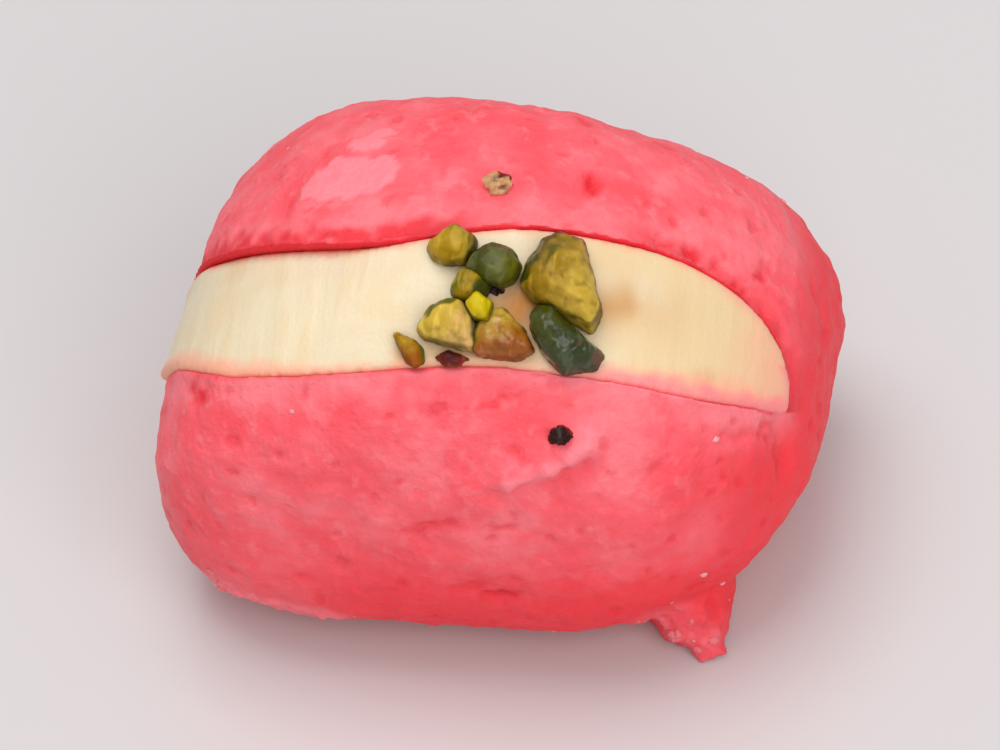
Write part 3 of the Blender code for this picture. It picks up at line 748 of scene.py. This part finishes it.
def nut_material(name, flesh, tinted, skin, edge, roughness, coat):
    """Pistachio kernel, chopped and wetted by syrup: waxy flesh that lets light in, with pale veins and
    fine fibres, a greener or paler side, a thin purple-brown skin and a clear wet coat."""
    material, tree, where = new_material(name)
    fibre_way = add_node(tree, "ShaderNodeMapping", {
        "Vector": where, "Rotation": (0.3, 0.5, 0.9), "Scale": (1.0, 0.3, 1.0)})
    fibre = add_node(tree, "ShaderNodeTexNoise", {
        "Vector": fibre_way.outputs[0], "Scale": repeats(0.5882), "Detail": 3.0, "Roughness": 0.6})
    cloud = add_node(tree, "ShaderNodeTexNoise", {"Vector": where, "Scale": repeats(1.4286), "Detail": 3.0})
    vein_way = add_node(tree, "ShaderNodeMapping", {
        "Vector": where, "Rotation": (0.4, 0.0, 0.35), "Scale": (1.0, 0.22, 0.5)})
    vein = add_node(tree, "ShaderNodeTexNoise", {
        "Vector": vein_way.outputs[0], "Scale": repeats(1.1111), "Detail": 2.0, "Distortion": 0.6})
    masks = surface_masks(tree, ("tint", "skin", "deep"), {
        "light": (vein, 0.49, 0.64, 0.5),
        "dark": (cloud, 0.47, 0.30, 0.6)})
    # The deep mask lays the edge colour on as painted shade
    tone = layered_tone(tree, flesh, (
        (masks["tint"], tinted), (masks["light"], shade(flesh, 1.6, 0.05)),
        (masks["dark"], shade(flesh, 0.6)), (masks["skin"], skin), (masks["deep"], edge)))
    relief = add_node(tree, "ShaderNodeMath", {0: cloud.outputs["Fac"], 1: 2.0, 2: fibre.outputs["Fac"]},
                      operation="MULTIPLY_ADD")
    bump = add_node(tree, "ShaderNodeBump", {
        "Height": relief.outputs[0], "Strength": 0.60, "Distance": 0.18 * MM})
    shader = add_node(tree, "ShaderNodeBsdfPrincipled", {
        "Base Color": tone, "Roughness": roughness, "Normal": bump.outputs["Normal"], "IOR": 1.47,
        "Specular IOR Level": 0.14, "Subsurface Weight": 0.85, "Subsurface Radius": (1.0, 0.85, 0.25),
        "Subsurface Scale": 1.8 * MM, "Coat Weight": coat, "Coat Roughness": 0.07, "Coat IOR": 1.45})
    add_node(tree, "ShaderNodeOutputMaterial", {"Surface": shader.outputs[0]})
    return material


def speck_material(name, rgb, roughness, glow):
    """Sugar left by dried syrup, or crumbled curd: small pale grains that let light through."""
    material, tree, where = new_material(name)
    cloud = add_node(tree, "ShaderNodeTexNoise", {"Vector": where, "Scale": repeats(0.8333), "Detail": 2.0})
    shader = add_node(tree, "ShaderNodeBsdfPrincipled", {
        "Base Color": layered_tone(tree, rgb, [(cloud.outputs["Fac"], shade(rgb, 0.8))]),
        "Roughness": roughness, "IOR": 1.5, "Subsurface Weight": glow,
        "Subsurface Radius": (1.0, 0.6, 0.5), "Subsurface Scale": 0.8 * MM})
    add_node(tree, "ShaderNodeOutputMaterial", {"Surface": shader.outputs[0]})
    return material


def floor_material(name, rgb):
    """Satin board, plain and pale, with a trace of mottle so that it isn't dead flat."""
    material, tree, where = new_material(name)
    cloud = add_node(tree, "ShaderNodeTexNoise", {"Vector": where, "Scale": repeats(166.7), "Detail": 2.0})
    shader = add_node(tree, "ShaderNodeBsdfPrincipled", {
        "Base Color": layered_tone(tree, rgb, [(cloud.outputs["Fac"], shade(rgb, 0.97))]),
        "Roughness": 0.32, "Specular IOR Level": 0.5})
    add_node(tree, "ShaderNodeOutputMaterial", {"Surface": shader.outputs[0]})
    return material


def scatter_tree(name, material):
    """Geometry Nodes that scatter small uneven grains over a surface by its zone attribute."""
    tree = bpy.data.node_groups.new(name, "GeometryNodeTree")
    tree.interface.new_socket("Geometry", in_out="INPUT", socket_type="NodeSocketGeometry")
    for label, kind in (("Density", "NodeSocketFloat"), ("Largest radius", "NodeSocketFloat"),
                        ("Seed", "NodeSocketInt")):
        tree.interface.new_socket(label, in_out="INPUT", socket_type=kind)
    tree.interface.new_socket("Geometry", in_out="OUTPUT", socket_type="NodeSocketGeometry")
    given = add_node(tree, "NodeGroupInput").outputs
    zone = add_node(tree, "GeometryNodeInputNamedAttribute", {"Name": "zone"}, data_type="FLOAT")
    density = add_node(tree, "ShaderNodeMath", {0: given["Density"], 1: zone.outputs["Attribute"]},
                       operation="MULTIPLY")
    spread = add_node(tree, "GeometryNodeDistributePointsOnFaces", {
        "Mesh": given["Geometry"], "Density": density.outputs[0], "Seed": given["Seed"]},
        distribute_method="RANDOM")
    ball = add_node(tree, "GeometryNodeMeshIcoSphere", {"Radius": 1.0, "Subdivisions": 3})
    place = add_node(tree, "GeometryNodeInputPosition")
    rough = add_node(tree, "ShaderNodeTexNoise", {"Vector": place.outputs[0], "Scale": 1.4, "Detail": 0.0})
    swell = add_node(tree, "ShaderNodeMath", {0: rough.outputs["Fac"], 1: 1.3, 2: 0.35},
                     operation="MULTIPLY_ADD")
    moved = add_node(tree, "ShaderNodeVectorMath", {0: place.outputs[0], "Scale": swell.outputs[0]},
                     operation="SCALE")
    uneven = add_node(tree, "GeometryNodeSetPosition", {"Geometry": ball.outputs["Mesh"],
                                                        "Position": moved.outputs[0]})
    small = add_node(tree, "FunctionNodeRandomValue", {2: 0.35, 3: 1.0, "Seed": given["Seed"]},
                     data_type="FLOAT")
    size = add_node(tree, "ShaderNodeMath", {0: small.outputs[1], 1: given["Largest radius"]},
                    operation="MULTIPLY")
    flat = add_node(tree, "FunctionNodeRandomValue", {0: (0.7, 0.7, 0.45), 1: (1.2, 1.0, 0.8)},
                    data_type="FLOAT_VECTOR")
    scale = add_node(tree, "ShaderNodeVectorMath", {0: flat.outputs[0], "Scale": size.outputs[0]},
                     operation="SCALE")
    grains = add_node(tree, "GeometryNodeInstanceOnPoints", {
        "Points": spread.outputs["Points"], "Instance": uneven.outputs["Geometry"],
        "Rotation": spread.outputs["Rotation"], "Scale": scale.outputs[0]})
    real = add_node(tree, "GeometryNodeRealizeInstances", {"Geometry": grains.outputs["Instances"]})
    painted = add_node(tree, "GeometryNodeSetMaterial", {"Geometry": real.outputs[0], "Material": material})
    add_node(tree, "NodeGroupOutput", {"Geometry": painted.outputs[0]})
    return tree


def scatter(name, source, zone, material, slot, density, radius, seed):
    """Grains scattered over a surface, as one plain mesh."""
    mesh = source.data.copy()
    set_masks(mesh, {"zone": zone})
    piece = link_mesh(name, mesh)
    tree = scatter_tree(name + "_scatter", material)
    modifier = piece.modifiers.new("scatter", "NODES")
    modifier.node_group = tree
    values = {"Density": density, "Largest radius": radius, "Seed": seed}
    for socket in tree.interface.items_tree:
        if socket.name in values:
            modifier[socket.identifier] = values[socket.name]
    apply_modifiers(piece)
    if not piece.data.vertices:
        raise RuntimeError(name + " has no grains")
    set_places(piece.data, places(piece.data)[0])
    finish_piece(piece, material, slot)


def soft_light(name, power, size, place):
    """Square soft light that faces the sweet."""
    lamp = bpy.data.lights.new(name, "AREA")
    lamp.energy, lamp.size = power, size
    light = bpy.data.objects.new(name, lamp)
    light.location = place
    light.rotation_euler = (Vector(LIGHT_AIM) - Vector(place)).to_track_quat("-Z", "Y").to_euler()
    bpy.context.scene.collection.objects.link(light)


class CHUM_OT_make_sponge(bpy.types.Operator):
    """Makes the soaked pink sponge with its slit, marks and dry patches"""
    bl_idname = "chum.make_sponge"
    bl_label = "Make the sponge"

    def execute(self, context):
        s = context.scene.chum_sponge
        skin = merged_copy("sponge_skin", "sponge")
        even_skin(skin, s.face_size, s.softening)
        points, normals = places(skin.data)
        along = points[:, 0]
        walls, back, distance = cut_walls(points, normals)
        outside = 1.0 - walls
        warp = noise_at(points, "warp")
        jagged = jittered(points, "jag")
        height, crease, bloom = skin_marks(points, jagged, warp)
        torn, pale, tatters = torn_skin(points, jagged)
        # Pits and the strip beside the cream are sunk and get painted shade, and the marks' redness is
        # painted shade in the cracks
        pits = outside * band("pit", noise_at(points, "pits"))
        strip = outside * back * cut_strip(along, distance, warp)
        crease = np.maximum.reduce((crease, PIT_SHADE * pits, STRIP_SHADE * strip))
        bloom = np.maximum(bloom * outside, pale)
        height += kneaded(points, s) * (1.0 - WALL_SMOOTHNESS * walls)
        height += outside * (1.0 - back) * band("overlap", distance) * band("overlap at left", along)
        height += BLOOM_HEIGHT * bloom + torn * tatters * s.torn_height / MM
        height -= PIT_DEPTH * pits + STRIP_DEPTH * strip
        points = points + normals * height[:, None]
        press_down(points)
        set_places(skin.data, points)
        smeared = (1.0 - back) * band("smear at right", along)
        set_masks(skin.data, {
            # Painted shade on the slit's walls, weaker on the front wall and gone under the smear
            "wall": walls * np.where(back, 1.0, FRONT_WALL_SHADE) * (1.0 - smeared),
            "bloom": np.maximum(bloom, smeared * band("smear", distance, warp)),
            "torn": torn,
            "crease": np.clip(crease, 0.0, 1.0),
            "lip": outside * band("lip", distance, warp),
            # Painted shade low down, and painted shade and a painted pink reflection on the right end
            "low": painted_rose_shade(along, points[:, 2], normals[:, 0], back, distance, warp)})
        finish_piece(skin, curd_material("soaked_chhena", s), "chhena_sponge", "sponge")
        return {"FINISHED"}


class CHUM_OT_make_cream(bpy.types.Operator):
    """Makes the cream in the slit with its ripples and syrup stains"""
    bl_idname = "chum.make_cream"
    bl_label = "Make the cream"

    def execute(self, context):
        s = context.scene.chum_cream
        cream = merged_copy("cream_filling", "malai_filling")
        even_skin(cream, s.face_size, s.softening)
        points, normals = places(cream.data)
        distance = nearest(tree_of("sponge"), points)[1]
        in_front = points @ ACROSS_SLIT < FRONT_HALF
        height = cream_height(points, open_face(normals), in_front, distance, s)
        points = points + normals * height[:, None]
        set_places(cream.data, points)
        along = points[:, 0]
        blur = noise_at(points, "blur")
        set_masks(cream.data, {
            # Painted pink light from the sponge
            "bleed": painted_pink_glow(along, in_front, distance, blur),
            "honey": nut_syrup(points),
            "soaked": in_front * band("rubbed in at right", along) * band("rubbed in", distance, blur),
            "rich": band("thick cream", along, noise_at(points, "thick cream"))})
        finish_piece(cream, cream_material("malai_paste", s), "malai_cream", "malai_filling")
        return {"FINISHED"}


class CHUM_OT_make_nuts(bpy.types.Operator):
    """Makes the chopped pistachio on the cream"""
    bl_idname = "chum.make_nuts"
    bl_label = "Make the pistachio pieces"

    def execute(self, context):
        s = context.scene.chum_nuts
        for number, row in enumerate(NUTS):
            node, slot, flesh, tinted, skin, tint_way, skin_way, share, roughness, coat, swell = row
            piece = merged_copy(node.replace("pistachio", "nut"), node)
            even_skin(piece, s.face_size, s.softening)
            points, normals = places(piece.data)
            chip_size = s.chip_size / MM
            chips = noise_at(points, "chips", chip_size, number)
            chips += noise_at(points, "fine chips", FINE_CHIP_SIZE * chip_size, number)
            points = points + normals * (s.swell * swell + chips * s.chip_height / MM)[:, None]
            set_places(piece.data, points)
            middle, reach = points.mean(0), np.ptp(points, axis=0).max() / 2.0
            wobble = noise_at(points, "wobble", number=number)
            tint_way, skin_way = (np.array(way) / np.linalg.norm(way) for way in (tint_way, skin_way))
            set_masks(piece.data, {
                "tint": band("nut tint", (points - middle) @ tint_way / reach, wobble),
                "skin": band("nut skin", (normals @ skin_way + wobble - 1.0) / share),
                # Painted shade on the sides and undersides
                "deep": band("nut rim", normals @ OUT_OF_SLIT, wobble)})
            colours = [getattr(s, key) for key in (flesh, tinted, skin)]
            material = nut_material(node + "_kernel", *colours, s.edge, roughness, coat)
            finish_piece(piece, material, slot, node)
        return {"FINISHED"}


class CHUM_OT_make_crumbs(bpy.types.Operator):
    """Makes the single nut crumbs that lie on the sponge and the cream"""
    bl_idname = "chum.make_crumbs"
    bl_label = "Make the nut crumbs"

    def execute(self, context):
        s = context.scene.chum_nuts
        for number, (name, slot, middle, radii, flesh, spots) in enumerate(NUT_CRUMBS):
            bm = bmesh.new()
            bmesh.ops.create_icosphere(bm, subdivisions=s.crumb_faces, radius=1.0)
            mesh = bpy.data.meshes.new(name)
            bm.to_mesh(mesh)
            bm.free()
            shape = np.array([v.co for v in mesh.vertices])
            lumps, fine_lumps, tint, spotted = (noise_at(shape, key, number=number) for key in (
                "crumb", "fine crumb", "crumb tint", "crumb spots"))
            swell = CRUMB_SIZE + lumps + fine_lumps
            set_places(mesh, shape * swell[:, None] * np.array(radii) + np.array(middle))
            set_masks(mesh, {
                "tint": band("crumb tint", tint),
                "skin": band("crumb spots", shape @ SPOT_WAY + spotted),
                # Painted shade in the hollows
                "deep": band("crumb hollows", swell)})
            colours = [getattr(s, key) for key in (flesh, flesh, spots)]
            material = nut_material(name + "_kernel", *colours, s.soot, CRUMB_ROUGHNESS, CRUMB_COAT)
            finish_piece(link_mesh(name, mesh), material, slot)
        return {"FINISHED"}


class CHUM_OT_scatter_grains(bpy.types.Operator):
    """Scatters sugar grains and curd crumbs over the sponge"""
    bl_idname = "chum.scatter_grains"
    bl_label = "Scatter the sugar and crumbs"

    def execute(self, context):
        s = context.scene.chum_scatter
        skin = bpy.data.objects.get("sponge_skin")
        if skin is None:
            raise RuntimeError("the sponge comes before its sugar and crumbs")
        points = places(skin.data)[0]
        walls, torn = (np.empty(len(points), np.float32) for _ in range(2))
        skin.data.attributes["wall"].data.foreach_get("value", walls)
        skin.data.attributes["torn"].data.foreach_get("value", torn)
        low, high = box_corners()
        inside = np.minimum(points - low, high - points)[:, :2].min(1) > GRAIN_MARGIN
        free = inside * (walls < GRAIN_WALL) * (points[:, 2] > GRAIN_ABOVE)
        sugar_zone = free * band("sugar", points[:, 2])
        scatter("sugar_grains", skin, sugar_zone, speck_material("dried_sugar", s.sugar, 0.3, 0.5),
                "chhena_sponge", s.sugar_density, s.sugar_size, s.seed)
        scatter("curd_crumbs", skin, free * torn, speck_material("crumbled_chhena", s.curd, 0.6, 0.3),
                "chhena_sponge", s.crumb_density, s.crumb_size, s.seed + 1)
        return {"FINISHED"}


class CHUM_OT_set_stage(bpy.types.Operator):
    """Makes the floor, the soft lights and the camera"""
    bl_idname = "chum.set_stage"
    bl_label = "Set the stage"

    def execute(self, context):
        s = context.scene.chum_stage
        half = 0.5 * s.floor_size
        mesh = bpy.data.meshes.new("floor")
        corners = [(-half, -half), (half, -half), (half, half), (-half, half)]
        mesh.from_pydata([(x, y, FLOOR_LEVEL) for x, y in corners], [], [(0, 1, 2, 3)])
        mesh.materials.append(floor_material("pale_board", s.floor))
        link_mesh("floor", mesh)
        soft_light("key_light", s.key_power, *KEY_LIGHT)
        soft_light("fill_light", s.fill_power, *FILL_LIGHT)
        world = bpy.data.worlds.new("room_light")
        world.use_nodes = True
        background = world.node_tree.nodes["Background"]
        background.inputs["Color"].default_value = ROOM_TINT
        background.inputs["Strength"].default_value = s.sky_strength
        context.scene.world = world
        context.scene.view_settings.view_transform = "Standard"
        lens = bpy.data.cameras.new("camera")
        lens.lens, lens.sensor_width = s.camera_lens, SENSOR_WIDTH
        lens.clip_start, lens.clip_end = CLIP_RANGE
        camera = bpy.data.objects.new("camera", lens)
        camera.location = s.camera_place
        camera.rotation_euler = Euler(s.camera_turn)
        context.scene.collection.objects.link(camera)
        context.scene.camera = camera
        return {"FINISHED"}


STEPS = (CHUM_OT_make_sponge, CHUM_OT_make_cream, CHUM_OT_make_nuts, CHUM_OT_make_crumbs,
         CHUM_OT_scatter_grains, CHUM_OT_set_stage)


class CHUM_PT_maker(bpy.types.Panel):
    """Lists the steps and the settings of the sweet"""
    bl_idname = "CHUM_PT_maker"
    bl_label = "Chum Chum"
    bl_space_type = "VIEW_3D"
    bl_region_type = "UI"
    bl_category = "Chum Chum"

    def draw(self, context):
        for name in SETTINGS:
            box = self.layout.box()
            settings = getattr(context.scene, name)
            for key in settings.bl_rna.properties.keys():
                if key not in ("rna_type", "name"):
                    box.prop(settings, key)
        for step in STEPS:
            self.layout.operator(step.bl_idname)


SETTINGS = {
    "chum_sponge": ChumSpongeSettings,
    "chum_cream": ChumCreamSettings,
    "chum_nuts": ChumNutSettings,
    "chum_scatter": ChumScatterSettings,
    "chum_stage": ChumStageSettings,
}


def register():
    for cls in (*SETTINGS.values(), *STEPS, CHUM_PT_maker):
        bpy.utils.register_class(cls)
    for name, cls in SETTINGS.items():
        setattr(bpy.types.Scene, name, PointerProperty(type=cls))


def unregister():
    for name in SETTINGS:
        delattr(bpy.types.Scene, name)
    for cls in (CHUM_PT_maker, *reversed(STEPS), *reversed(SETTINGS.values())):
        bpy.utils.unregister_class(cls)


def main():
    register()
    for step in STEPS:
        getattr(bpy.ops.chum, step.bl_idname.split(".")[1])()


if __name__ == "__main__":
    main()
